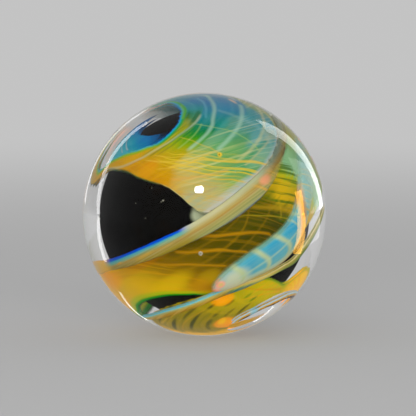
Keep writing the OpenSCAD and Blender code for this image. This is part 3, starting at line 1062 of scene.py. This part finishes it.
# Each bubble's place to the right and up, its layer, and its radius in millimetres
bubble_list = [
    (-0.031, -0.309, 0.9, 0.30), (-0.329, 0.111, 0.8, 0.11), (-0.345, 0.100, 0.8, 0.06),
    (-0.55, 0.09, 0.85, 0.05), (-0.47, -0.03, 0.8, 0.05), (0.245, 0.34, 0.85, 0.06),
    (-0.42, 0.21, 0.8, 0.05), (0.79, 0.27, 0.9, 0.08)]
bubble_points, bubble_faces = [], []
for share_right, share_up, layer, radius in bubble_list:
    points, faces = ball_surface(radius * mm, 24, 14)
    start = sum(len(points_before) for points_before in bubble_points)
    bubble_points.append(points + np.array(seen_at(share_right, share_up, layer)))
    bubble_faces += [[corner + start for corner in face] for face in faces]
bubbles = mesh_object("bubbles", np.concatenate(bubble_points), bubble_faces)
# The pale tone, strong at a bubble's rim and thin in its middle, is a painted reflection of the
# bright ring a clear bubble shows; on the specks it is their own pale colour
speck_and_bubble_glint, tree, shader = new_material("bubble", {
    "Base Color": screen(196, 192, 170), "Roughness": 0.4})
facing = add_node(tree, "LayerWeight", {"Blend": 0.5}).outputs["Facing"]
tree.links.new(smooth(facing, 0.05, 0.5, 0.3, 0.95), shader.inputs["Alpha"])
bubbles.data.materials.append(speck_and_bubble_glint)
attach(bubbles, "root")
print(f"bubbles: {len(bubbles.data.polygons)} faces")

# %% [markdown]
# ## The studio
#
# A pale floor, an even pale room, and two large soft lamps, one over the camera and a fill
# lamp beside it, which the ball doesn't mirror. The floor would grow darker away from the lamps,
# so further off it glows by itself with the colour it has near by.

# %% Floor and world
pale = screen(194, 194, 194)
floor_reach = 12.0
glow_start, glow_full = 0.08, 0.5
corners = [(-1, -1), (1, -1), (1, 1), (-1, 1)]
floor_mesh = bpy.data.meshes.new("floor")
floor_mesh.from_pydata([(x * floor_reach, y * floor_reach, -ball_r) for x, y in corners],
                       [], [(0, 1, 2, 3)])
floor = put("floor", floor_mesh)
floor_paint, tree, shader = new_material("floor paint", matt | {"Base Color": pale})
place = add_node(tree, "TexCoord").outputs["Object"]
away = add_node(tree, "VectorMath", {0: place}, operation="LENGTH").outputs["Value"]
glow = add_node(tree, "Emission", {"Color": pale})
mix_surface(smooth(away, glow_start, glow_full), shader, glow)
floor_mesh.materials.append(floor_paint)

world = bpy.data.worlds.new("studio")
bpy.context.scene.world = world
world.use_nodes = True
tree = world.node_tree
background = tree.nodes["Background"]
background.inputs["Color"].default_value = (1.0, 1.0, 1.0, 1.0)
path = add_node(tree, "LightPath").outputs
seen = calc("MAXIMUM", path["Is Camera Ray"], path["Is Transmission Ray"])
seen = calc("MAXIMUM", seen, path["Is Glossy Ray"])
world_light = 0.55
strength = scaled(seen, pale[0] - world_light, world_light)
tree.links.new(strength, background.inputs["Strength"])
print(f"room {pale[0]:.2f} as it is seen, and {world_light} as it lights")

# %% [markdown]
# ## Lamps and their mirror images
#
# A polished ball mirrors every lamp, and in this photograph the mirror images draw long bright
# arcs near the left and right edges, and an amber band at the right. So the narrow lamps are
# placed backwards: from where the arc has to be seen on the ball to where a lamp must stand to
# be mirrored there.

# %% Functions for lamps
def mirrored_at(right, up, reach):
    """Where a lamp stands that is mirrored at a place of the ball's picture.

    The place is given in shares of the ball's radius. The surface there points along n, and the
    ray from the camera, which is towards v, leaves along 2 (n . v) n - v.
    """
    v = -view_in
    n = view_right * right + view_up * up + v * math.sqrt(1 - right**2 - up**2)
    return n * ball_r + (2 * n.dot(v) * n - v) * reach


def add_lamp(name, centre, x_axis, y_axis, width, height, radiance, shape="RECTANGLE"):
    """A flat lamp that faces the ball. One of area A and radiance L gives out pi A L watts."""
    data = bpy.data.lights.new(name, "AREA")
    data.shape = shape
    data.size, data.size_y = width, height
    area = width * height * (math.pi / 4 if shape == "ELLIPSE" else 1)
    data.energy = math.pi * area * radiance
    lamp = put(name, data)
    y = y_axis.normalized()
    x = (x_axis - y * x_axis.dot(y)).normalized()
    z = x.cross(y)
    if z.dot(centre) < 0:
        x, z = -x, -z
    lamp.matrix_world = Matrix.Translation(centre) @ Matrix((x, y, z)).transposed().to_4x4()
    lamp.visible_camera = False
    lamp.visible_transmission = False
    return lamp


def mirror_strip(name, first, last, thick, reach, radiance, tint=(1.0, 1.0, 1.0)):
    """A strip lamp whose mirror image runs between two places of the picture, so thick."""
    start, end = mirrored_at(*first, reach), mirrored_at(*last, reach)
    middle = (Vector(first) + Vector(last)).normalized()
    share = (Vector(first).length + Vector(last).length) / 2
    outer = mirrored_at(*(middle * (share + thick / 2)), reach)
    across = outer - mirrored_at(*(middle * (share - thick / 2)), reach)
    lamp = add_lamp(name, (start + end) / 2, across, end - start, across.length,
                    (end - start).length, radiance)
    lamp.data.color = tint
    lamp.visible_diffuse = False


# %% The lamps
far, near, touching = 0.5, 0.03, 0.004
level, upright = Vector((1, 0, 0)), Vector((0, 0, 1))
key = add_lamp("key", Vector((-0.22, -0.85, 0.82)), level, Vector((0, 0.7, 0.72)),
               width=1.0, height=1.0, radiance=0.86)
fill = add_lamp("fill", Vector((0.15, -1.0, 0.24)), level, upright,
                width=0.9, height=0.5, radiance=4.2)
key.visible_glossy = fill.visible_glossy = False
spot_half = 0.035
spot_size = (mirrored_at(spot_half, 0.0, far) - mirrored_at(-spot_half, 0.0, far)).length
spot = add_lamp("spot", mirrored_at(-0.04, 0.202, far), level, Vector((0, 0.3, 1)),
                spot_size, spot_size, radiance=160.0, shape="ELLIPSE")
spot.visible_diffuse = False
amber = (1.0, 0.5, 0.05)
for strip in [
        ("left inner", (-0.467, 0.746), (-0.857, -0.02), 0.024, far, 4.2),
        ("left inner low", (-0.857, -0.02), (-0.80, -0.385), 0.024, near, 4.2),
        ("left outer", (-0.4875, 0.844), (-0.979, 0.0), 0.012, far, 1.0),
        ("right arc", (0.47, 0.72), (0.955, 0.02), 0.042, far, 3.4),
        ("right inner", (0.757, 0.19), (0.78, 0.0), 0.055, far, 14.0, amber),
        ("right inner low", (0.78, 0.0), (0.747, -0.32), 0.065, near, 14.0, amber),
        ("right haze", (0.80, 0.42), (0.855, 0.02), 0.17, far, 1.5),
        ("right haze low", (0.855, 0.02), (0.85, -0.25), 0.17, near, 1.2),
        ("left foot", (-0.685, -0.63), (-0.466, -0.862), 0.010, touching, 2.5),
        ("right foot", (0.56, -0.745), (0.40, -0.875), 0.010, touching, 2.5)]:
    mirror_strip(*strip)
print(f"{len(bpy.data.lights)} lamps")

# %% Colour handling, and the end
bpy.context.scene.view_settings.view_transform = "Standard"
bpy.context.scene.cycles.transparent_max_bounces = 32
